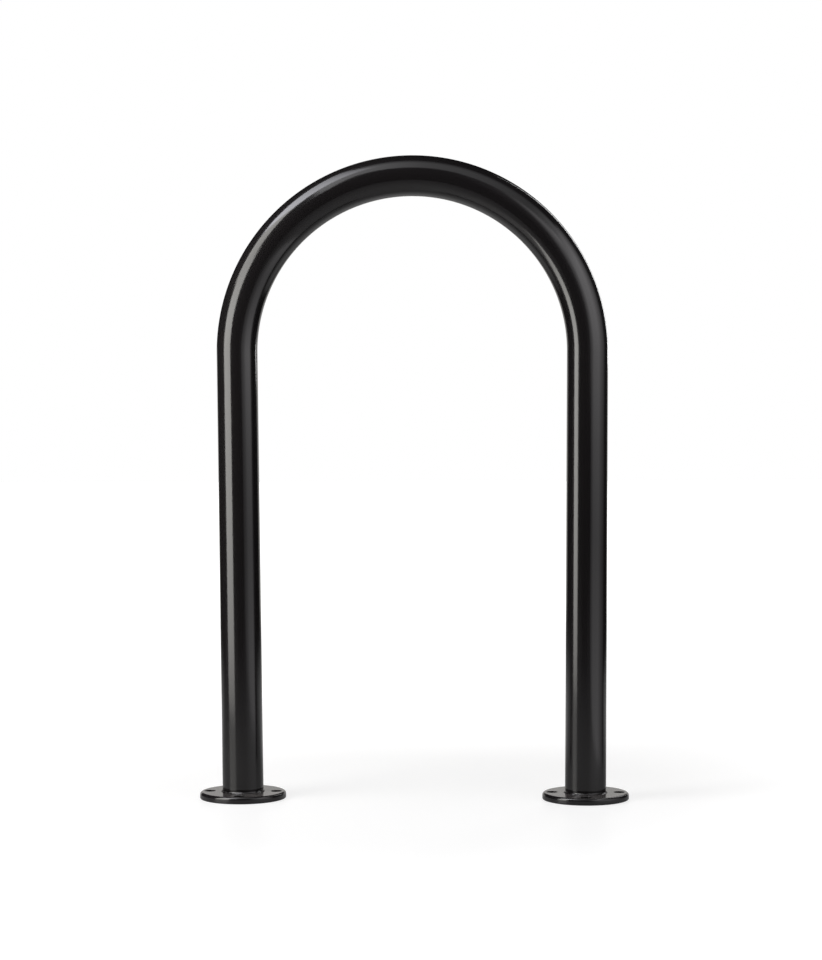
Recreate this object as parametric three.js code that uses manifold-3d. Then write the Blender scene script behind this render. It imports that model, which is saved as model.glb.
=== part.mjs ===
// Hoop bike rack. One round steel tube is bent into an inverted U. Each foot is cut level, stands
// on a round base plate and is held to it by a fillet weld. Four anchor holes in each plate take
// the bolts that hold the rack to the ground.
//
// Millimetres, +Z up. The hoop lies in the XZ plane, with X across it. The origin is on the
// ground, midway between the two base plates.
import * as THREE from "three";
import { mergeVertices } from "three/addons/utils/BufferGeometryUtils.js";
import Module from "manifold-3d";

// Hoop: 2 in nominal pipe, bent to a half circle. The bend is closed a little past half a turn,
// so the straight legs lean in towards their feet.
const overallHeight = 948;
const insideWidth = 457.2; // clear width across the half circle
const footInset = 6; // how far each foot stands inside the end of the half circle
const tubeDiameter = 60.3;
const tubeWall = 3.9;

// Base plates
const plateDiameter = 127;
const plateThickness = 10;
const upperRimRadius = 4; // of the rounded rim on top
const lowerRimRadius = 1.6;
const anchorHoleDiameter = 15.9;
const anchorHoleCount = 4;
const anchorPlaceShare = 0.525; // how far out a hole lies between the weld and the rim
const drainHoleDiameter = 12.7;
const drainHoleMargin = 2; // metal between the drain hole and the line of the tube's bore

// Fillet welds
const weldLeg = 3;
const weldHollow = 0.6; // how far the bead's face dips below a straight fillet
const weldGap = 0.3; // clear of the tube's wall all round

// How far every cutting tool runs past what it cuts
const cutOverrun = 4;

// Facets
const tubeSides = 48;
const boreSides = 24;
const bendSteps = 36;
const plateSides = 72;
const lowerRimSteps = 2;
const upperRimSteps = 4;
const holeSides = 24;
const hollowSteps = 4;

// Sizes that follow from those above
const tubeRadius = tubeDiameter / 2;
const bendRadius = insideWidth / 2 + tubeRadius; // to the tube's centreline
const bendHeight = overallHeight - tubeRadius - bendRadius; // of the bend's centre
const footX = bendRadius - footInset;
const plateRadius = plateDiameter / 2;
const beadRadius = tubeRadius + weldGap;
const weldToe = beadRadius + weldLeg; // the weld's outer edge on the plate
const anchorCircleRadius = weldToe + (plateRadius - weldToe) * anchorPlaceShare;

const paint = { color: 0x161517, roughness: 0.3, metalness: 0 };
const tubePaint = new THREE.MeshStandardMaterial(paint);
const platePaint = new THREE.MeshStandardMaterial(paint);
const weldPaint = new THREE.MeshStandardMaterial({ ...paint, roughness: 0.36 });

const wasm = await Module();
wasm.setup();

// A closed geometry as a solid that can be cut.
function toSolid(geometry) {
  const bare = geometry.clone();
  bare.deleteAttribute("normal");
  bare.deleteAttribute("uv");
  const merged = mergeVertices(bare);
  return new wasm.Manifold(
    new wasm.Mesh({
      numProp: 3,
      vertProperties: merged.attributes.position.array,
      triVerts: new Uint32Array(merged.index.array),
    }),
  );
}

// A solid back as a geometry with flat faces.
function toGeometry(solid) {
  const mesh = solid.getMesh();
  const indexed = new THREE.BufferGeometry();
  indexed.setAttribute("position", new THREE.BufferAttribute(mesh.vertProperties, mesh.numProp));
  indexed.setIndex(new THREE.BufferAttribute(mesh.triVerts, 1));
  const geometry = indexed.toNonIndexed();
  geometry.computeVertexNormals();
  return geometry;
}

// The angle by which a leg leans: the straight leg starts at the foot's centre, on the plate's
// top, and runs up as a tangent to the bend's centreline.
function leanAngle() {
  const rise = bendHeight - plateThickness;
  return Math.atan2(rise, footX) - Math.acos(bendRadius / Math.hypot(footX, rise));
}

// The tube's centreline from the left foot, up, over the bend and down to the right foot. Each
// leg is one step and the bend has steps of equal angle.
class HoopCentreline extends THREE.Curve {
  constructor(footDrop) {
    super();
    this.lean = leanAngle();
    this.steps = bendSteps + 2;
    this.leftFoot = this.footPoint(-1, footDrop);
    this.rightFoot = this.footPoint(1, footDrop);
  }

  // A point of the bend, by its angle from +X.
  bendPoint(angle, target = new THREE.Vector3()) {
    const x = bendRadius * Math.cos(angle);
    return target.set(x, 0, bendHeight + bendRadius * Math.sin(angle));
  }

  // The end of a leg, carried on along the leg for some way below the plate's top.
  footPoint(side, drop) {
    const x = footX - drop * Math.tan(this.lean);
    return new THREE.Vector3(side * x, 0, plateThickness - drop);
  }

  getPoint(t, target = new THREE.Vector3()) {
    const station = t * this.steps;
    const bendStart = Math.PI + this.lean;
    const bendTurn = Math.PI + 2 * this.lean;
    if (station < 1) {
      return target.lerpVectors(this.leftFoot, this.bendPoint(bendStart), station);
    }
    if (station > bendSteps + 1) {
      const along = station - bendSteps - 1;
      return target.lerpVectors(this.bendPoint(bendStart - bendTurn), this.rightFoot, along);
    }
    return this.bendPoint(bendStart - (bendTurn * (station - 1)) / bendSteps, target);
  }

  // Steps are counted by station, not by length.
  getUtoTmapping(u) {
    return u;
  }
}

// The hoop: a ring section swept along the centreline, with both feet cut level on the plates.
function hoopTube() {
  const section = new THREE.Shape(circlePoints(tubeRadius, tubeSides));
  section.holes.push(new THREE.Path(circlePoints(tubeRadius - tubeWall, boreSides)));
  const centreline = new HoopCentreline(cutOverrun);
  const swept = new THREE.ExtrudeGeometry(section, {
    steps: centreline.steps,
    extrudePath: centreline,
    bevelEnabled: false,
  });
  const belowPlateTop = new THREE.BoxGeometry(
    2 * footX + plateDiameter,
    plateDiameter,
    2 * cutOverrun,
  );
  belowPlateTop.translate(0, 0, plateThickness - cutOverrun);
  return toGeometry(toSolid(swept).subtract(toSolid(belowPlateTop)));
}

// The corners of a regular outline round the origin.
function circlePoints(radius, sides) {
  const points = [];
  for (let i = 0; i < sides; i += 1) {
    const angle = (2 * Math.PI * i) / sides;
    points.push(new THREE.Vector2(radius * Math.cos(angle), radius * Math.sin(angle)));
  }
  return points;
}

// Points of an arc in a lathe profile, as radius and height.
function arcPoints(centreRadius, centreHeight, radius, from, to, steps) {
  const points = [];
  for (let i = 0; i <= steps; i += 1) {
    const angle = from + ((to - from) * i) / steps;
    const x = centreRadius + radius * Math.cos(angle);
    points.push(new THREE.Vector2(x, centreHeight + radius * Math.sin(angle)));
  }
  return points;
}

// A profile turned round the Z axis.
function turned(profile, sides) {
  return new THREE.LatheGeometry(profile, sides).rotateX(Math.PI / 2);
}

// An upright drill that passes through the plate.
function drill(diameter, x, y) {
  const length = plateThickness + 2 * cutOverrun;
  const bit = new THREE.CylinderGeometry(diameter / 2, diameter / 2, length, holeSides);
  return toSolid(bit.rotateX(Math.PI / 2).translate(x, y, plateThickness / 2));
}

// A base plate round its own centre: a disc with rounded rims, its anchor holes on their circle,
// and a drain hole inside the tube's bore. The drain lies on the side towards the other leg.
function basePlate(drainSide) {
  const lowerFlat = plateRadius - lowerRimRadius;
  const upperFlat = plateRadius - upperRimRadius;
  const upperEdge = plateThickness - upperRimRadius;
  const profile = [
    new THREE.Vector2(0, 0),
    ...arcPoints(lowerFlat, lowerRimRadius, lowerRimRadius, -Math.PI / 2, 0, lowerRimSteps),
    ...arcPoints(upperFlat, upperEdge, upperRimRadius, 0, Math.PI / 2, upperRimSteps),
    new THREE.Vector2(0, plateThickness),
  ];
  let plate = toSolid(turned(profile, plateSides));
  for (let i = 0; i < anchorHoleCount; i += 1) {
    const angle = (2 * Math.PI * i) / anchorHoleCount;
    const x = anchorCircleRadius * Math.cos(angle);
    const y = anchorCircleRadius * Math.sin(angle);
    plate = plate.subtract(drill(anchorHoleDiameter, x, y));
  }
  const drainX = tubeRadius - tubeWall - drainHoleMargin - drainHoleDiameter / 2;
  plate = plate.subtract(drill(drainHoleDiameter, drainSide * drainX, 0));
  return toGeometry(plate);
}

// A fillet weld round the foot of a leg: a ring that fills the corner between tube and plate,
// with a slightly hollow face.
function weldBead() {
  const face = [];
  for (let i = 0; i <= hollowSteps; i += 1) {
    const share = i / hollowSteps;
    const dip = (weldHollow * Math.sin(Math.PI * share)) / Math.SQRT2;
    const x = beadRadius + weldLeg * (1 - share) - dip;
    face.push(new THREE.Vector2(x, plateThickness + weldLeg * share - dip));
  }
  const corner = new THREE.Vector2(beadRadius, plateThickness);
  return turned([corner, ...face, corner.clone()], tubeSides);
}

function named(name, geometry, material) {
  const mesh = new THREE.Mesh(geometry, material);
  mesh.name = name;
  return mesh;
}

const rack = new THREE.Group();
rack.add(named("hoop_tube", hoopTube(), tubePaint));

for (const [side, direction] of [["left", -1], ["right", 1]]) {
  const foot = new THREE.Group();
  foot.position.x = direction * footX;
  foot.add(named(`${side}_base_plate`, basePlate(-direction), platePaint));
  foot.add(named(`${side}_weld_bead`, weldBead(), weldPaint));
  rack.add(foot);
}

export default rack;
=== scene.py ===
from math import acos, atan2, cos, hypot, pi, radians, sin

import bmesh
import bpy
from mathutils import Matrix, Vector


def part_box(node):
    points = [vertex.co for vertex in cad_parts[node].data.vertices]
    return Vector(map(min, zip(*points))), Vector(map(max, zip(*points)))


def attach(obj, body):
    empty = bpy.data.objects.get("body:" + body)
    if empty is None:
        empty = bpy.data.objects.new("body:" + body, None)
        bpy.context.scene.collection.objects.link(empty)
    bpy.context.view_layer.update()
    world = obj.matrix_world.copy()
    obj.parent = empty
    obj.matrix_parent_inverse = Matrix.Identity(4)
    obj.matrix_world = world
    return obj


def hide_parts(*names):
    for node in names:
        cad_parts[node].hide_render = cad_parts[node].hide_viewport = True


# A black hoop bike rack on a pale studio floor. Metres, +Z up, the hoop in the XZ plane.

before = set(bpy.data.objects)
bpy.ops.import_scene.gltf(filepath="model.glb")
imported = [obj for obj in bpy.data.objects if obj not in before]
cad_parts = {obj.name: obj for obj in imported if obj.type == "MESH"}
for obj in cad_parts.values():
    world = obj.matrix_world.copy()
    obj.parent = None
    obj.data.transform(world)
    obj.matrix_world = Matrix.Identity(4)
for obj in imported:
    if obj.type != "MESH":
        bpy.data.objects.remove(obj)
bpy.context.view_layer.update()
print("frame loaded with", len(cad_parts), "nodes")

# The lines of the rack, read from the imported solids
tubeLow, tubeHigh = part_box("hoop_tube")
plateLow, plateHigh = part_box("right_base_plate")
beadLow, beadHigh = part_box("right_weld_bead")
tubeRadius = (tubeHigh.y - tubeLow.y) / 2
bendRadius = tubeHigh.x - tubeRadius
bendHeight = tubeHigh.z - tubeRadius - bendRadius
footX = (plateLow.x + plateHigh.x) / 2
plateTop = plateHigh.z
plateRadius = (plateHigh.y - plateLow.y) / 2
weldToe = (beadHigh.y - beadLow.y) / 2  # radius of the weld's edge on the plate
beadHeight = beadHigh.z - plateTop

legRise = bendHeight - plateTop
legLean = atan2(legRise, footX) - acos(bendRadius / hypot(footX, legRise))
legLength = (legRise - bendRadius * sin(legLean)) / cos(legLean)


# Small helpers for node trees, which serve geometry and shader trees alike

def addNode(tree, kind, sockets=None, **settings):
    node = tree.nodes.new(kind)
    for name, value in settings.items():
        setattr(node, name, value)
    for name, value in (sockets or {}).items():
        feed(tree, node.inputs[name], value)
    return node


def feed(tree, socket, value):
    if isinstance(value, bpy.types.NodeSocket):
        tree.links.new(value, socket)
    else:
        socket.default_value = value


def calc(tree, operation, *values):
    node = tree.nodes.new("ShaderNodeMath")
    node.operation = operation
    for socket, value in zip(node.inputs, values):
        feed(tree, socket, value)
    return node.outputs[0]


def mixColours(tree, share, under, over):
    node = addNode(tree, "ShaderNodeMix", data_type="RGBA")
    shareSocket, underSocket, overSocket = node.inputs[0], node.inputs[6], node.inputs[7]
    feed(tree, shareSocket, share)
    feed(tree, underSocket, under)
    feed(tree, overSocket, over)
    return node.outputs[2]


def startTree(name, kind, inputs, outputs):
    tree = bpy.data.node_groups.new(name, kind)
    for label, socketKind in inputs.items():
        tree.interface.new_socket(label, in_out="INPUT", socket_type=socketKind)
    for label, socketKind in outputs.items():
        tree.interface.new_socket(label, in_out="OUTPUT", socket_type=socketKind)
    return tree, tree.nodes.new("NodeGroupInput").outputs, tree.nodes.new("NodeGroupOutput").inputs


# Runs a geometry tree with its named inputs and keeps the result as a plain mesh.
def meshFromTree(name, tree, values):
    maker = bpy.data.objects.new(name + "Maker", bpy.data.meshes.new(name + "Seed"))
    bpy.context.scene.collection.objects.link(maker)
    modifier = maker.modifiers.new("shape", "NODES")
    modifier.node_group = tree
    for item in tree.interface.items_tree:
        if item.item_type == "SOCKET" and item.in_out == "INPUT":
            modifier[item.identifier] = values[item.name]
    graph = bpy.context.evaluated_depsgraph_get()
    mesh = bpy.data.meshes.new_from_object(maker.evaluated_get(graph))
    mesh.name = name
    maker.modifiers.remove(modifier)
    bpy.data.objects.remove(maker)
    return mesh


# Puts a finished mesh in the scene as a piece that stands for one CAD node.
def addPiece(name, mesh, node):
    piece = bpy.data.objects.new(name, mesh)
    bpy.context.scene.collection.objects.link(piece)
    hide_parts(node)
    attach(piece, "root")
    return piece


# Powder coat

# The surface of the coat: a fine orange peel over a finer grain, with slow changes in its gloss.
def powderCoatGroup():
    tree, given, result = startTree(
        "powderCoat",
        "ShaderNodeTree",
        {
            "Colour": "NodeSocketColor",
            "Dusty Colour": "NodeSocketColor",
            "Roughness": "NodeSocketFloat",
            "Roughness Spread": "NodeSocketFloat",
            "Peel Size": "NodeSocketFloat",
            "Peel Depth": "NodeSocketFloat",
            "Grain Size": "NodeSocketFloat",
            "Grain Depth": "NodeSocketFloat",
            "Cloud Size": "NodeSocketFloat",
        },
        {"Colour": "NodeSocketColor", "Roughness": "NodeSocketFloat", "Normal": "NodeSocketVector"},
    )
    place = tree.nodes.new("ShaderNodeTexCoord").outputs["Object"]

    def noise(size, detail):
        scale = calc(tree, "DIVIDE", 1.0, size)
        sockets = {"Vector": place, "Scale": scale, "Detail": detail}
        return addNode(tree, "ShaderNodeTexNoise", sockets).outputs["Fac"]

    cloud = noise(given["Cloud Size"], detail=4.0)
    peel = noise(given["Peel Size"], detail=1.0)
    grain = noise(given["Grain Size"], detail=2.0)

    # Nearly all of the noise lies between 0.3 and 0.7.
    cloudy = addNode(tree, "ShaderNodeMapRange", {
        "Value": cloud, "From Min": 0.3, "From Max": 0.7, "To Min": -1.0, "To Max": 1.0,
    }).outputs["Result"]
    shift = calc(tree, "MULTIPLY", cloudy, given["Roughness Spread"])
    feed(tree, result["Roughness"], calc(tree, "ADD", given["Roughness"], shift))

    tint = mixColours(tree, cloud, given["Colour"], given["Dusty Colour"])
    feed(tree, result["Colour"], tint)

    peeled = addNode(tree, "ShaderNodeBump", {"Height": peel, "Distance": given["Peel Depth"]})
    grained = addNode(tree, "ShaderNodeBump", {
        "Height": grain, "Distance": given["Grain Depth"], "Normal": peeled.outputs["Normal"],
    })
    feed(tree, result["Normal"], grained.outputs["Normal"])
    return tree


# A pale film in soft patches where the metal faces up: partly dust, partly painted sheen that stands
# in for a soft reflection on the plate tops.
def dustAndSheenGroup():
    tree, given, result = startTree(
        "dustAndSheenShader",
        "ShaderNodeTree",
        {
            "Colour": "NodeSocketColor",
            "Dust And Sheen Colour": "NodeSocketColor",
            "Cover": "NodeSocketFloat",
            "Steepest": "NodeSocketFloat",
            "Patch Size": "NodeSocketFloat",
            "Speck Size": "NodeSocketFloat",
        },
        {"Colour": "NodeSocketColor"},
    )
    normal = tree.nodes.new("ShaderNodeNewGeometry").outputs["Normal"]
    facingUp = addNode(tree, "ShaderNodeSeparateXYZ", {"Vector": normal}).outputs["Z"]
    level = addNode(tree, "ShaderNodeMapRange", {
        "Value": facingUp, "From Min": given["Steepest"], "From Max": 1.0,
    }).outputs["Result"]
    place = tree.nodes.new("ShaderNodeTexCoord").outputs["Object"]

    # Noise that runs from the least share of the cover to the whole of it.
    def uneven(size, detail, least):
        noise = addNode(tree, "ShaderNodeTexNoise", {
            "Vector": place, "Scale": calc(tree, "DIVIDE", 1.0, size), "Detail": detail,
        })
        return addNode(tree, "ShaderNodeMapRange", {
            "Value": noise.outputs["Fac"],
            "From Min": 0.35,
            "From Max": 0.65,
            "To Min": least,
            "To Max": 1.0,
        }).outputs["Result"]

    patches = uneven(given["Patch Size"], detail=3.0, least=0.65)
    specks = uneven(given["Speck Size"], detail=1.0, least=0.75)
    # Painted sheen and dust: a paler colour laid on faces that point up.
    cover = calc(tree, "MULTIPLY", calc(tree, "MULTIPLY", patches, specks), level)
    cover = calc(tree, "MULTIPLY", cover, given["Cover"])
    dustAndSheenMix = mixColours(tree, cover, given["Colour"], given["Dust And Sheen Colour"])
    feed(tree, result["Colour"], dustAndSheenMix)
    return tree


def coatMaterial(name, look):
    material = bpy.data.materials.new(name)
    material.use_nodes = True
    tree = material.node_tree
    shader = tree.nodes["Principled BSDF"]
    shader.inputs["IOR"].default_value = look["ior"]

    def layer(group, values):
        node = addNode(tree, "ShaderNodeGroup", node_tree=group)
        for label, value in values.items():
            feed(tree, node.inputs[label], value)
        return node.outputs

    coat = layer(powderCoat, look["surface"])
    colour = coat["Colour"]
    # A pale film of dust and painted sheen, for the coats that have one.
    if "dustAndSheen" in look:
        colour = layer(dustAndSheenShader, {"Colour": colour, **look["dustAndSheen"]})["Colour"]
    feed(tree, shader.inputs["Base Color"], colour)
    feed(tree, shader.inputs["Roughness"], coat["Roughness"])
    feed(tree, shader.inputs["Normal"], coat["Normal"])
    return material


tubeCoatLook = {
    "ior": 1.5,
    "surface": {
        "Colour": (0.0054, 0.0048, 0.0051, 1),
        "Dusty Colour": (0.0068, 0.0061, 0.0063, 1),
        "Roughness": 0.14,
        "Roughness Spread": 0.012,
        "Peel Size": 0.0018,
        "Peel Depth": 0.000034,
        "Grain Size": 0.0006,
        "Grain Depth": 0.000002,
        "Cloud Size": 0.09,
    },
}

plateCoatLook = {
    "ior": 1.5,
    "surface": {**tubeCoatLook["surface"], "Roughness": 0.16, "Peel Size": 0.0021},
    # The pale film on the plate tops is dust and painted sheen.
    "dustAndSheen": {
        "Dust And Sheen Colour": (0.163, 0.151, 0.146, 1),
        "Cover": 0.31,
        "Steepest": 0.95,  # how far a face may turn from level, as the upward part of its normal
        "Patch Size": 0.018,
        "Speck Size": 0.0005,
    },
}

weldCoatLook = {
    "ior": 1.5,
    "surface": {**tubeCoatLook["surface"], "Roughness": 0.15, "Peel Size": 0.0015},
    # Only a trace of the dust and painted sheen film on the weld.
    "dustAndSheen": {**plateCoatLook["dustAndSheen"], "Cover": 0.05, "Steepest": 0.4},
}

powderCoat = powderCoatGroup()
dustAndSheenShader = dustAndSheenGroup()
tubeCoat = coatMaterial("tubeCoat", tubeCoatLook)
plateCoat = coatMaterial("plateCoat", plateCoatLook)
weldCoat = coatMaterial("weldCoat", weldCoatLook)
print("powder coats mixed")


# Hoop tube

hoopLook = {
    "wall": 0.0039,
    "sides": 96,  # facets round the outside
    "boreSides": 32,
    "stations": 361,  # rings from foot to foot
    "endZone": 0.001,  # what lies this near the top of a plate is cut level with it
}


# A straight bar is laid along X and wrapped over the bend, as a bender does it: the middle of the
# bar follows the arc, and what is left at both ends runs on straight.
def hoopTree():
    tree, given, result = startTree(
        "bentTube",
        "GeometryNodeTree",
        {
            "Tube Radius": "NodeSocketFloat",
            "Wall": "NodeSocketFloat",
            "Bend Radius": "NodeSocketFloat",
            "Bend Height": "NodeSocketFloat",
            "Lean": "NodeSocketFloat",
            "Leg Length": "NodeSocketFloat",
            "Foot Height": "NodeSocketFloat",
            "End Zone": "NodeSocketFloat",
            "Stations": "NodeSocketInt",
            "Sides": "NodeSocketInt",
            "Bore Sides": "NodeSocketInt",
            "Material": "NodeSocketMaterial",
        },
        {"Geometry": "NodeSocketGeometry"},
    )
    radius = given["Bend Radius"]
    halfTurn = calc(tree, "ADD", given["Lean"], pi / 2)
    halfBend = calc(tree, "MULTIPLY", radius, halfTurn)
    halfBar = calc(tree, "ADD", halfBend, given["Leg Length"])
    barStart = addNode(tree, "ShaderNodeCombineXYZ", {"X": calc(tree, "MULTIPLY", halfBar, -1.0)})
    barEnd = addNode(tree, "ShaderNodeCombineXYZ", {"X": halfBar})
    bar = addNode(tree, "GeometryNodeCurvePrimitiveLine", {
        "Start": barStart.outputs[0], "End": barEnd.outputs[0],
    })
    stations = addNode(tree, "GeometryNodeResampleCurve", {
        "Curve": bar.outputs["Curve"], "Count": given["Stations"],
    })

    def coordinates():
        place = tree.nodes.new("GeometryNodeInputPosition").outputs[0]
        return addNode(tree, "ShaderNodeSeparateXYZ", {"Vector": place}).outputs

    along = coordinates()["X"]
    bendStart = calc(tree, "MULTIPLY", halfBend, -1.0)
    onBend = calc(tree, "MAXIMUM", calc(tree, "MINIMUM", along, halfBend), bendStart)
    onLeg = calc(tree, "SUBTRACT", along, onBend)
    turn = calc(tree, "DIVIDE", onBend, radius)
    sine, cosine = calc(tree, "SINE", turn), calc(tree, "COSINE", turn)
    arcX, legX = calc(tree, "MULTIPLY", radius, sine), calc(tree, "MULTIPLY", onLeg, cosine)
    arcRise, legDrop = calc(tree, "MULTIPLY", radius, cosine), calc(tree, "MULTIPLY", onLeg, sine)
    x = calc(tree, "ADD", arcX, legX)
    rise = calc(tree, "SUBTRACT", arcRise, legDrop)
    z = calc(tree, "ADD", given["Bend Height"], rise)
    bent = addNode(tree, "GeometryNodeSetPosition", {
        "Geometry": stations.outputs["Curve"],
        "Position": addNode(tree, "ShaderNodeCombineXYZ", {"X": x, "Z": z}).outputs[0],
    }).outputs[0]

    def wall(circleRadius, sides):
        circle = addNode(tree, "GeometryNodeCurvePrimitiveCircle", {
            "Resolution": sides, "Radius": circleRadius,
        })
        sockets = {"Curve": bent, "Profile Curve": circle.outputs["Curve"]}
        return addNode(tree, "GeometryNodeCurveToMesh", sockets).outputs["Mesh"]

    outside = wall(given["Tube Radius"], given["Sides"])
    bore = wall(calc(tree, "SUBTRACT", given["Tube Radius"], given["Wall"]), given["Bore Sides"])
    walls = tree.nodes.new("GeometryNodeJoinGeometry")
    feed(tree, walls.inputs[0], outside)
    feed(tree, walls.inputs[0], addNode(tree, "GeometryNodeFlipFaces", {"Mesh": bore}).outputs[0])

    # Both ends are cut level with the top of the plates.
    end = coordinates()
    zoneTop = calc(tree, "ADD", given["Foot Height"], given["End Zone"])
    nearFoot = calc(tree, "LESS_THAN", end["Z"], zoneTop)
    level = addNode(tree, "ShaderNodeCombineXYZ", {
        "X": end["X"], "Y": end["Y"], "Z": given["Foot Height"],
    })
    cut = addNode(tree, "GeometryNodeSetPosition", {
        "Geometry": walls.outputs[0], "Selection": nearFoot, "Position": level.outputs[0],
    })
    smooth = addNode(tree, "GeometryNodeSetShadeSmooth", {"Geometry": cut.outputs[0]})
    real = addNode(tree, "GeometryNodeRealizeInstances", {"Geometry": smooth.outputs[0]})
    painted = addNode(tree, "GeometryNodeSetMaterial", {
        "Geometry": real.outputs[0], "Material": given["Material"],
    })
    feed(tree, result["Geometry"], painted.outputs[0])
    return tree


def hoopMesh():
    mesh = meshFromTree("hoopTube", hoopTree(), {
        "Tube Radius": tubeRadius,
        "Wall": hoopLook["wall"],
        "Bend Radius": bendRadius,
        "Bend Height": bendHeight,
        "Lean": legLean,
        "Leg Length": legLength,
        "Foot Height": plateTop,
        "End Zone": hoopLook["endZone"],
        "Stations": hoopLook["stations"],
        "Sides": hoopLook["sides"],
        "Bore Sides": hoopLook["boreSides"],
        "Material": tubeCoat,
    })
    shell = bmesh.new()
    shell.from_mesh(mesh)
    rims = [edge for edge in shell.edges if edge.is_boundary]
    for side in (-1, 1):
        footRims = [edge for edge in rims if edge.verts[0].co.x * side > 0]
        ring = bmesh.ops.bridge_loops(shell, edges=footRims)
        for face in ring["faces"]:
            face.smooth = False
    bmesh.ops.recalc_face_normals(shell, faces=shell.faces)
    shell.to_mesh(mesh)
    shell.free()
    return mesh


addPiece("hoopTube", hoopMesh(), "hoop_tube")
print("hoop bent, lean of the legs", round(legLean * 180 / pi, 2), "degrees")


# Base plates

plateLook = {
    "rim": 0.004,  # radius of the rounded rim on top
    "underRim": 0.0016,
    "rimSides": 192,
    "holes": 4,
    "holePlace": 0.525,  # share of the way from the weld to the rim
    "holeRadius": 0.00795,
    "holeRim": 0.0006,  # the coat rounds the edge of a hole
    "holeSides": 64,
    "drainRadius": 0.00635,
    "drainPlace": 0.0179,  # from the plate's middle, towards the other leg
    "roundSteps": 8,
    "flatGuard": 0.0004,  # a narrow flat ring beside every rounded edge keeps the shading flat
}


# The wall of the plate along one circle, with both edges rounded. The metal is inside the circle
# where side is 1, and outside it, as round a hole, where side is -1. It gives the edges of the
# flat faces that it leaves open: those on top, and those underneath.
def roundedWall(shell, middle, radius, side, rim, underRim, count):
    steps, guard = plateLook["roundSteps"], plateLook["flatGuard"]

    def rounding(size):
        curve = [(radius - side * (size + guard), 0.0)]
        for i in range(steps + 1):
            angle = pi / 2 * (1 - i / steps)
            curve.append((radius - side * size * (1 - cos(angle)), size * (1 - sin(angle))))
        return curve

    outline = [(reach, plateTop - depth) for reach, depth in rounding(rim)]
    outline += reversed(rounding(underRim))
    rings = []
    for reach, height in outline:
        ring = []
        for i in range(count):
            angle = 2 * pi * i / count
            place = (middle[0] + reach * cos(angle), middle[1] + reach * sin(angle), height)
            ring.append(shell.verts.new(place))
        rings.append(ring)
    for upper, lower in zip(rings, rings[1:]):
        for i in range(count):
            following = (i + 1) % count
            face = shell.faces.new((upper[i], lower[i], lower[following], upper[following]))
            face.smooth = True

    def loop(ring):
        return [shell.edges.get((ring[i], ring[(i + 1) % count])) for i in range(count)]

    return loop(rings[0]), loop(rings[-1])


def holeWall(shell, middle, radius):
    rim = plateLook["holeRim"]
    return roundedWall(shell, middle, radius, -1, rim, rim, plateLook["holeSides"])


def plateMesh(name, side):
    look = plateLook
    middle = Vector((side * footX, 0))
    anchorReach = weldToe + (plateRadius - weldToe) * look["holePlace"]
    shell = bmesh.new()
    rims = (look["rim"], look["underRim"])
    walls = [roundedWall(shell, middle, plateRadius, 1, *rims, look["rimSides"])]
    for i in range(look["holes"]):
        angle = 2 * pi * i / look["holes"]
        hole = middle + anchorReach * Vector((cos(angle), sin(angle)))
        walls.append(holeWall(shell, hole, look["holeRadius"]))
    drain = middle - Vector((side * look["drainPlace"], 0))
    walls.append(holeWall(shell, drain, look["drainRadius"]))
    for level, normal in ((0, (0, 0, 1)), (1, (0, 0, -1))):
        edges = [edge for wall in walls for edge in wall[level]]
        bmesh.ops.triangle_fill(shell, use_beauty=True, use_dissolve=False, edges=edges, normal=normal)
    bmesh.ops.recalc_face_normals(shell, faces=shell.faces)
    for face in shell.faces:
        face.smooth = True
    mesh = bpy.data.meshes.new(name)
    shell.to_mesh(mesh)
    shell.free()
    mesh.materials.append(plateCoat)
    return mesh


for sideName, side in (("left", -1), ("right", 1)):
    piece = sideName + "BasePlate"
    addPiece(piece, plateMesh(piece, side), sideName + "_base_plate")
print("base plates drilled")


# Weld beads

weldLook = {
    "leg": beadHeight,
    "hollow": 0.0008,  # how far the bead's face dips below a straight fillet
    "ripples": 30,
    "rippleDepth": 0.0007,
    "leastRipple": 0.3,  # height of the lowest ripple, as a share of the highest
    "chevron": 0.8,  # how far a ripple bows along the weld, in ripples
    "drift": 1.2,  # how far the ripples stray from an even spacing, in ripples
    "driftWaves": 6.0,  # how quickly that comes and goes round the foot
    "wander": 0.14,  # share by which the bead's size comes and goes
    "wanderWaves": 3.0,
    "sink": 0.0002,  # how far the bead runs into the tube
    "stepsPerRipple": 16,
    "rows": 13,
    "sharpEdge": radians(55),  # a steeper fold between two faces stays sharp
}


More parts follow.
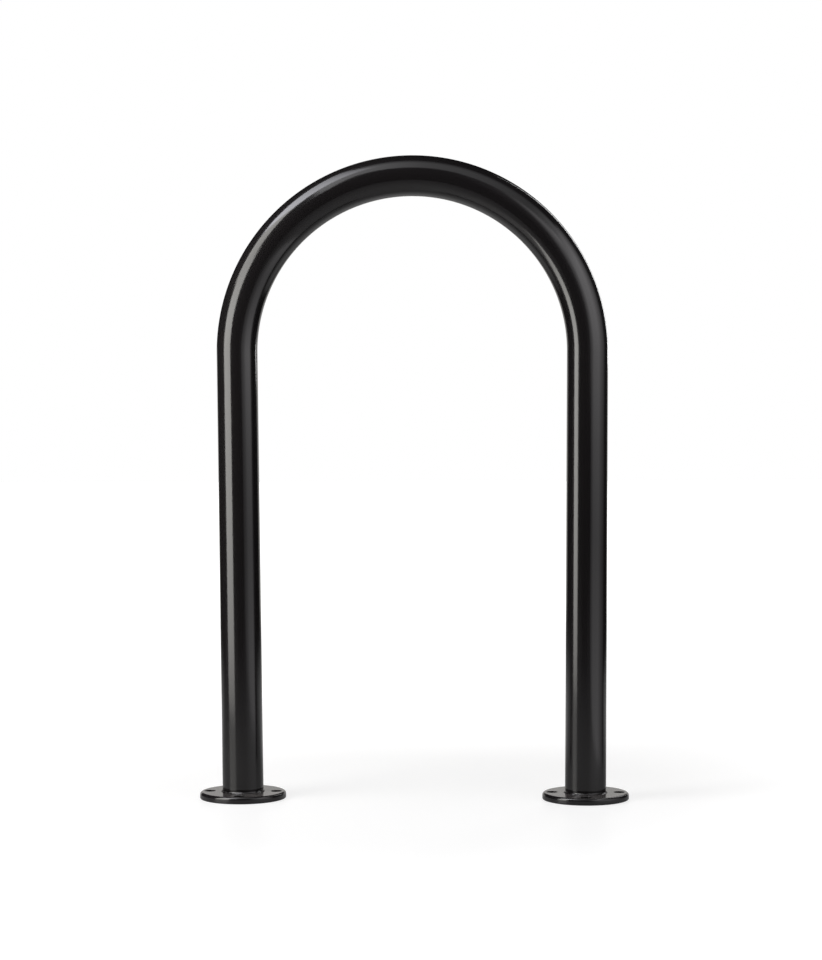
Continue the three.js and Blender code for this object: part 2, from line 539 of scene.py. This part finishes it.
# A grid is wrapped round the tube: its long side runs along the weld and its short side across
# it, from the toe on the plate to the toe on the tube. The last two rows close the bead behind.
def weldTree():
    tree, given, result = startTree(
        "rippledWeld",
        "GeometryNodeTree",
        {
            "Tube Radius": "NodeSocketFloat",
            "Middle": "NodeSocketVector",
            "Leg": "NodeSocketFloat",
            "Hollow": "NodeSocketFloat",
            "Ripples": "NodeSocketInt",
            "Ripple Depth": "NodeSocketFloat",
            "Least Ripple": "NodeSocketFloat",
            "Chevron": "NodeSocketFloat",
            "Drift": "NodeSocketFloat",
            "Drift Waves": "NodeSocketFloat",
            "Wander": "NodeSocketFloat",
            "Wander Waves": "NodeSocketFloat",
            "Sink": "NodeSocketFloat",
            "Steps": "NodeSocketInt",
            "Rows": "NodeSocketInt",
            "Seed": "NodeSocketFloat",
            "Material": "NodeSocketMaterial",
        },
        {"Geometry": "NodeSocketGeometry"},
    )
    lastRow = calc(tree, "ADD", given["Rows"], 1.0)
    grid = addNode(tree, "GeometryNodeMeshGrid", {
        "Size X": 1.0,
        "Size Y": 1.0,
        "Vertices X": calc(tree, "ADD", given["Steps"], 1.0),
        "Vertices Y": calc(tree, "ADD", lastRow, 1.0),
    })
    place = tree.nodes.new("GeometryNodeInputPosition").outputs[0]
    onGrid = addNode(tree, "ShaderNodeSeparateXYZ", {"Vector": place}).outputs
    angle = calc(tree, "MULTIPLY", onGrid["X"], 2 * pi)
    cosine, sine = calc(tree, "COSINE", angle), calc(tree, "SINE", angle)

    # across runs from 0 at the plate to 1 at the tube, and passes 1 on the row that closes the back.
    row = calc(tree, "ROUND", calc(tree, "MULTIPLY", calc(tree, "ADD", onGrid["Y"], 0.5), lastRow))
    row = calc(tree, "MODULO", row, lastRow)
    across = calc(tree, "DIVIDE", row, calc(tree, "SUBTRACT", given["Rows"], 1.0))
    onFace = calc(tree, "LESS_THAN", across, 1.001)

    # A smooth random value from -1 to 1 that closes on itself round the foot.
    def wobble(waves, shift):
        around = addNode(tree, "ShaderNodeCombineXYZ", {
            "X": calc(tree, "MULTIPLY", cosine, waves),
            "Y": calc(tree, "MULTIPLY", sine, waves),
            "Z": calc(tree, "ADD", given["Seed"], shift),
        })
        noise = addNode(tree, "ShaderNodeTexNoise", {"Vector": around.outputs[0], "Scale": 1.0})
        return calc(tree, "MULTIPLY", calc(tree, "SUBTRACT", noise.outputs["Fac"], 0.5), 2.0)

    size = calc(tree, "MULTIPLY", wobble(given["Wander Waves"], shift=0.0), given["Wander"])
    middling = calc(tree, "SUBTRACT", 1.0, calc(tree, "MULTIPLY", given["Wander"], 0.5))
    leg = calc(tree, "MULTIPLY", given["Leg"], calc(tree, "ADD", size, middling))

    # Every ripple bows back at both toes, and each has its own height.
    bow = calc(tree, "POWER", calc(tree, "SUBTRACT", calc(tree, "MULTIPLY", across, 2.0), 1.0), 2.0)
    travel = calc(tree, "MULTIPLY", calc(tree, "ADD", onGrid["X"], 0.5), given["Ripples"])
    travel = calc(tree, "ADD", travel, calc(tree, "MULTIPLY", bow, given["Chevron"]))
    stray = calc(tree, "MULTIPLY", wobble(given["Drift Waves"], shift=5.0), given["Drift"])
    travel = calc(tree, "ADD", travel, stray)
    number = calc(tree, "WRAP", calc(tree, "FLOOR", travel), given["Ripples"], 0.0)
    luck = addNode(tree, "ShaderNodeTexWhiteNoise", noise_dimensions="1D")
    feed(tree, luck.inputs["W"], calc(tree, "ADD", number, given["Seed"]))
    uneven = calc(tree, "POWER", luck.outputs["Value"], 2.0)
    spread = calc(tree, "SUBTRACT", 1.0, given["Least Ripple"])
    height = calc(tree, "ADD", calc(tree, "MULTIPLY", uneven, spread), given["Least Ripple"])
    crest = calc(tree, "SINE", calc(tree, "MULTIPLY", calc(tree, "FRACT", travel), pi))
    ripple = calc(tree, "MULTIPLY", calc(tree, "POWER", crest, 0.7), height)

    arch = calc(tree, "SINE", calc(tree, "MULTIPLY", across, pi))
    rise = calc(tree, "MULTIPLY", ripple, given["Ripple Depth"])
    rise = calc(tree, "MULTIPLY", rise, calc(tree, "SQRT", calc(tree, "ABSOLUTE", arch)))
    swell = calc(tree, "SUBTRACT", rise, calc(tree, "MULTIPLY", arch, given["Hollow"]))
    swell = calc(tree, "DIVIDE", swell, 2 ** 0.5)

    toeward = calc(tree, "MULTIPLY", leg, calc(tree, "SUBTRACT", 1.0, across))
    outward = calc(tree, "MULTIPLY", calc(tree, "ADD", toeward, swell), onFace)
    upward = calc(tree, "ADD", calc(tree, "MULTIPLY", leg, across), swell)
    inside = calc(tree, "SUBTRACT", given["Tube Radius"], given["Sink"])
    reach = calc(tree, "ADD", inside, outward)
    onWeld = addNode(tree, "ShaderNodeCombineXYZ", {
        "X": calc(tree, "MULTIPLY", reach, cosine),
        "Y": calc(tree, "MULTIPLY", reach, sine),
        "Z": calc(tree, "MULTIPLY", upward, onFace),
    })
    moved = addNode(tree, "ShaderNodeVectorMath", operation="ADD")
    feed(tree, moved.inputs[0], onWeld.outputs[0])
    feed(tree, moved.inputs[1], given["Middle"])
    wrapped = addNode(tree, "GeometryNodeSetPosition", {
        "Geometry": grid.outputs["Mesh"], "Position": moved.outputs[0],
    })
    closed = addNode(tree, "GeometryNodeMergeByDistance", {
        "Geometry": wrapped.outputs[0], "Distance": 0.000001,
    })
    smooth = addNode(tree, "GeometryNodeSetShadeSmooth", {"Geometry": closed.outputs[0]})
    real = addNode(tree, "GeometryNodeRealizeInstances", {"Geometry": smooth.outputs[0]})
    painted = addNode(tree, "GeometryNodeSetMaterial", {
        "Geometry": real.outputs[0], "Material": given["Material"],
    })
    feed(tree, result["Geometry"], painted.outputs[0])
    return tree


def weldMesh(name, tree, side, seed):
    mesh = meshFromTree(name, tree, {
        "Tube Radius": tubeRadius,
        "Middle": (side * footX, 0.0, plateTop),
        "Leg": weldLook["leg"],
        "Hollow": weldLook["hollow"],
        "Ripples": weldLook["ripples"],
        "Ripple Depth": weldLook["rippleDepth"],
        "Least Ripple": weldLook["leastRipple"],
        "Chevron": weldLook["chevron"],
        "Drift": weldLook["drift"],
        "Drift Waves": weldLook["driftWaves"],
        "Wander": weldLook["wander"],
        "Wander Waves": weldLook["wanderWaves"],
        "Sink": weldLook["sink"],
        "Steps": weldLook["ripples"] * weldLook["stepsPerRipple"],
        "Rows": weldLook["rows"],
        "Seed": seed,
        "Material": weldCoat,
    })
    shell = bmesh.new()
    shell.from_mesh(mesh)
    bmesh.ops.recalc_face_normals(shell, faces=shell.faces)
    shell.to_mesh(mesh)
    shell.free()
    mesh.set_sharp_from_angle(angle=weldLook["sharpEdge"])
    return mesh


rippledWeld = weldTree()
for sideName, side, seed in (("left", -1, 3.0), ("right", 1, 11.0)):
    piece = sideName + "WeldBead"
    bead = weldMesh(piece, rippledWeld, side, seed)
    addPiece(piece, bead, sideName + "_weld_bead")
print("weld beads laid")


# Studio

studio = {
    "floorColour": (0.2, 0.2, 0.2, 1),
    "floorRoughness": 0.42,
    "floorLift": 0.72,  # light that only the camera sees on the floor, so that it reads white
    "liftNear": 0.4,  # from here outward the lift grows,
    "liftFar": 1.3,  # and from here on the floor is pure white
    "mirroredLift": 0.14,  # what reflections, and rays through glass, see of it beside the rack
    "mirroredFar": 1.8,  # and from here on none of that: the photo's coat mirrors a dark front
    "mirroredBehind": 0.34,  # what more they see of it behind the rack, which the arch mirrors:
    "behindStart": 0.2,  # it grows from here back
    "behindFull": 0.6,  # to here,
    "behindNear": 1.2,  # and fades out from this distance
    "behindFar": 2.4,  # to this one
    "floorSize": 14.0,
    "floorDrop": 0.0002,  # the floor lies this far under the plates
    "ambient": 0.2,  # light from the white room all round, which looks brighter than it lights
}

# Glowing cards: a lower corner, the side that runs along the card and the side that runs up it,
# in metres. The ramps give shares of the strength by place, from 0 to 1 along or up the card.
glowCards = {
    "leftSoftbox": {
        "corner": (-0.743, -0.766, 0.01),
        "along": (-0.432, 0.434, 0),
        "up": (0.023, 0.04, 1.12),
        "strength": 7.6,
        "tint": (1.015, 1.0, 0.96, 1),
        "upRamp": [(0, 0.34), (0.12, 0.6), (0.3, 0.78), (0.5, 0.88), (0.75, 1.0), (1, 0.8)],
    },
    "leftSoftboxTop": {
        "corner": (-0.79, -0.655, 1.13),
        "along": (-0.466, 0.468, 0),
        "up": (0, 0, 0.49),
        "strength": 5.8,
        "tint": (1.015, 1.0, 0.96, 1),
    },
    "leftLamp": {
        "corner": (-1.134, -1.034, 1.929),
        "along": (-0.43, 0.884, -0.052),
        "up": (0.773, 0.414, 0.636),
        "strength": 10.7,
        "tint": (0.99, 0.99, 1.05, 1),
        "upRamp": [(0, 1.0), (1, 0.17)],
    },
    "rightCard": {
        "corner": (1.0, -2.2, 0),
        "along": (-0.413, 2.313, 0),
        "up": (0, 0, 1.206),
        "strength": 2.58,
        "tint": (1.0, 0.98, 1.0, 1),
        "alongRamp": [(0, 0.12), (0.2, 0.32), (0.5, 0.56), (0.66, 0.93), (0.87, 1.0), (1, 0.01)],
        "upRamp": [(0, 0.52), (0.28, 0.34), (0.42, 0.46), (0.62, 0.84), (0.85, 1.0), (1, 0.68)],
    },
    "highCard": {
        "corner": (0.224, -1.693, 0.625),
        "along": (1.405, 0.063, 0),
        "up": (0, 0.202, 1.523),
        "strength": 4.91,
        "tint": (1.0, 0.98, 1.0, 1),
        "alongRamp": [(0, 0.016), (0.25, 0.033), (0.5, 0.308), (0.85, 0.43), (1, 1.0)],
        "upRamp": [(0, 0.66), (0.2, 0.64), (0.8, 1.0), (1, 0.43)],
    },
    "overhead": {
        "corner": (-1.21, -3.38, 2.5),
        "along": (3.862, 0, 0),
        "up": (0, 3.355, 0),
        "strength": 3.22,
        "tint": (1.0, 1.0, 1.02, 1),
        "alongRamp": [(0, 1.0), (0.33, 0.316), (0.67, 0.16), (0.92, 0.534), (1, 0.216)],
        "upRamp": [(0, 0.85), (0.12, 1.0), (0.85, 0.88), (1, 0.1)],
    },
    "backCard": {
        "corner": (0.55, 0.8, 0.65),
        "along": (0.64, 1.03, 0),
        "up": (0, 0, 1.43),
        "strength": 5.0,
        "tint": (1, 1, 1, 1),
    },
    "lowBackdrop": {
        "corner": (-3.0, 2.9, 0),
        "along": (6.0, 0, 0),
        "up": (0, 0, 0.75),
        "strength": 0.68,
        "tint": (1, 0.98, 0.95, 1),
    },
}

# Black cloths, which the camera and diffuse light don't see. They keep the bright room off the
# glossy coat.
cloths = {
    "frontCloth": ((-0.7, -1.75, 0), (1.1, 0, 0), (0, 0, 3.2)),
    "leftCloth": ((-1.9, 0.0, 0), (0, 2.4, 0), (0, 0, 3.2)),
    "rightCloth": ((1.6, 0.3, 0), (0, 2.0, 0), (0, 0, 3.2)),
    "roomFront": ((-3.0, -3.4, 0), (6.0, 0, 0), (0, 0, 3.4)),
    "roomLeft": ((-3.0, -3.4, 0), (0, 6.5, 0), (0, 0, 3.4)),
    "roomRight": ((3.0, -3.4, 0), (0, 6.5, 0), (0, 0, 3.4)),
    "roomBack": ((-3.0, 3.1, 0.75), (6.0, 0, 0), (0, 0, 2.65)),
    "roomTop": ((-3.0, -3.4, 3.4), (6.0, 0, 0), (0, 6.5, 0)),
}


# A flat sheet that the camera doesn't see.
def addSheet(name, corner, along, up, material):
    corner, along, up = Vector(corner), Vector(along), Vector(up)
    mesh = bpy.data.meshes.new(name)
    mesh.from_pydata([corner, corner + along, corner + along + up, corner + up], [], [(0, 1, 2, 3)])
    places = mesh.uv_layers.new(name="place").data
    for place, uv in zip(places, ((0, 0), (1, 0), (1, 1), (0, 1))):
        place.uv = uv
    mesh.materials.append(material)
    sheet = bpy.data.objects.new(name, mesh)
    bpy.context.scene.collection.objects.link(sheet)
    sheet.visible_camera = False
    sheet.visible_shadow = False
    return sheet


def greyRamp(tree, value, stops):
    node = addNode(tree, "ShaderNodeValToRGB", {"Fac": value})
    elements = node.color_ramp.elements
    while len(elements) < len(stops):
        elements.new(0.5)
    for element, (place, grey) in zip(elements, stops):
        element.position = place
        element.color = (grey, grey, grey, 1)
    return node.outputs["Color"]


def glowMaterial(name, card):
    material = bpy.data.materials.new(name)
    material.use_nodes = True
    tree = material.node_tree
    tree.nodes.remove(tree.nodes["Principled BSDF"])
    uv = tree.nodes.new("ShaderNodeUVMap").outputs[0]
    place = addNode(tree, "ShaderNodeSeparateXYZ", {"Vector": uv}).outputs
    strength = card["strength"]
    for axis, label in (("X", "alongRamp"), ("Y", "upRamp")):
        if label in card:
            strength = calc(tree, "MULTIPLY", greyRamp(tree, place[axis], card[label]), strength)
    glow = addNode(tree, "ShaderNodeEmission", {"Color": card["tint"], "Strength": strength})
    feed(tree, tree.nodes["Material Output"].inputs["Surface"], glow.outputs[0])
    return material


def clothMaterial():
    material = bpy.data.materials.new("blackCloth")
    material.use_nodes = True
    shader = material.node_tree.nodes["Principled BSDF"]
    shader.inputs["Base Color"].default_value = (0.01, 0.01, 0.01, 1)
    shader.inputs["Roughness"].default_value = 1.0
    shader.inputs["Specular IOR Level"].default_value = 0.0
    return material


def floorMaterial():
    material = bpy.data.materials.new("paleFloor")
    material.use_nodes = True
    tree = material.node_tree
    shader = tree.nodes["Principled BSDF"]
    shader.inputs["Base Color"].default_value = studio["floorColour"]
    shader.inputs["Roughness"].default_value = studio["floorRoughness"]
    place = tree.nodes.new("ShaderNodeTexCoord").outputs["Object"]
    away = addNode(tree, "ShaderNodeVectorMath", operation="LENGTH")
    feed(tree, away.inputs[0], place)

    def ramp(value, start, end, near, far):
        return addNode(tree, "ShaderNodeMapRange", {
            "Value": value,
            "From Min": start,
            "From Max": end,
            "To Min": near,
            "To Max": far,
        }).outputs["Result"]

    def liftRamp(near, far, farPlace):
        return ramp(away.outputs["Value"], studio["liftNear"], farPlace, near, far)

    path = tree.nodes.new("ShaderNodeLightPath").outputs
    mirrored = calc(tree, "MAXIMUM", path["Is Glossy Ray"], path["Is Transmission Ray"])
    forCamera = liftRamp(studio["floorLift"], 1.0, studio["liftFar"])
    forMirrors = liftRamp(studio["mirroredLift"], 0.0, studio["mirroredFar"])
    back = addNode(tree, "ShaderNodeSeparateXYZ", {"Vector": place}).outputs["Y"]
    behind = ramp(back, studio["behindStart"], studio["behindFull"], 0.0, studio["mirroredBehind"])
    fade = ramp(away.outputs["Value"], studio["behindNear"], studio["behindFar"], 1.0, 0.0)
    forMirrors = calc(tree, "ADD", forMirrors, calc(tree, "MULTIPLY", behind, fade))
    lift = calc(tree, "MULTIPLY", path["Is Camera Ray"], forCamera)
    lift = calc(tree, "ADD", lift, calc(tree, "MULTIPLY", mirrored, forMirrors))
    glow = addNode(tree, "ShaderNodeEmission", {"Strength": lift})
    both = tree.nodes.new("ShaderNodeAddShader")
    feed(tree, both.inputs[0], shader.outputs[0])
    feed(tree, both.inputs[1], glow.outputs[0])
    feed(tree, tree.nodes["Material Output"].inputs["Surface"], both.outputs[0])
    return material


floorMesh = bpy.data.meshes.new("floor")
reach = studio["floorSize"]
drop = -studio["floorDrop"]
floorMesh.from_pydata(
    [(-reach, -reach, drop), (reach, -reach, drop), (reach, reach, drop), (-reach, reach, drop)],
    [],
    [(0, 1, 2, 3)],
)
floorMesh.materials.append(floorMaterial())
floor = bpy.data.objects.new("floor", floorMesh)
bpy.context.scene.collection.objects.link(floor)

for name, card in glowCards.items():
    addSheet(name, card["corner"], card["along"], card["up"], glowMaterial(name + "Glow", card))
blackCloth = clothMaterial()
for name, (corner, along, up) in cloths.items():
    cloth = addSheet(name, corner, along, up, blackCloth)
    cloth.visible_diffuse = False

world = bpy.data.worlds.new("studioRoom")
bpy.context.scene.world = world
world.use_nodes = True
roomTree = world.node_tree
path = roomTree.nodes.new("ShaderNodeLightPath")
seen = calc(roomTree, "MAXIMUM", path.outputs["Is Camera Ray"], path.outputs["Is Glossy Ray"])
seen = calc(roomTree, "MAXIMUM", seen, path.outputs["Is Transmission Ray"])
strength = calc(roomTree, "MAXIMUM", seen, studio["ambient"])
feed(roomTree, roomTree.nodes["Background"].inputs["Color"], (1, 1, 1, 1))
feed(roomTree, roomTree.nodes["Background"].inputs["Strength"], strength)
print("studio lit")


# Camera

cameraLook = {
    "turn": radians(2.94),  # to the right of straight on
    "distance": 3.618,
    "height": 0.587,
    "roll": radians(-0.27),
    "focalLength": 2453.4,  # in pixels of the photo, as the two shifts below
    "drop": -79.9,
    "aside": -0.9,
    "photoHeight": 960,
    "sensor": 36,  # millimetres along the photo's height
}

cameraData = bpy.data.cameras.new("photoCamera")
cameraData.sensor_width = cameraLook["sensor"]
cameraData.lens = cameraLook["focalLength"] * cameraLook["sensor"] / cameraLook["photoHeight"]
cameraData.shift_x = cameraLook["aside"] / cameraLook["photoHeight"]
cameraData.shift_y = cameraLook["drop"] / cameraLook["photoHeight"]
camera = bpy.data.objects.new("photoCamera", cameraData)
bpy.context.scene.collection.objects.link(camera)
stand = Vector((
    cameraLook["distance"] * sin(cameraLook["turn"]),
    -cameraLook["distance"] * cos(cameraLook["turn"]),
    cameraLook["height"],
))
camera.matrix_world = (
    Matrix.Translation(stand)
    @ Matrix.Rotation(cameraLook["turn"], 4, "Z")
    @ Matrix.Rotation(pi / 2, 4, "X")
    @ Matrix.Rotation(cameraLook["roll"], 4, "Z")
)
bpy.context.scene.camera = camera
bpy.context.scene.view_settings.view_transform = "Standard"
print("camera set")
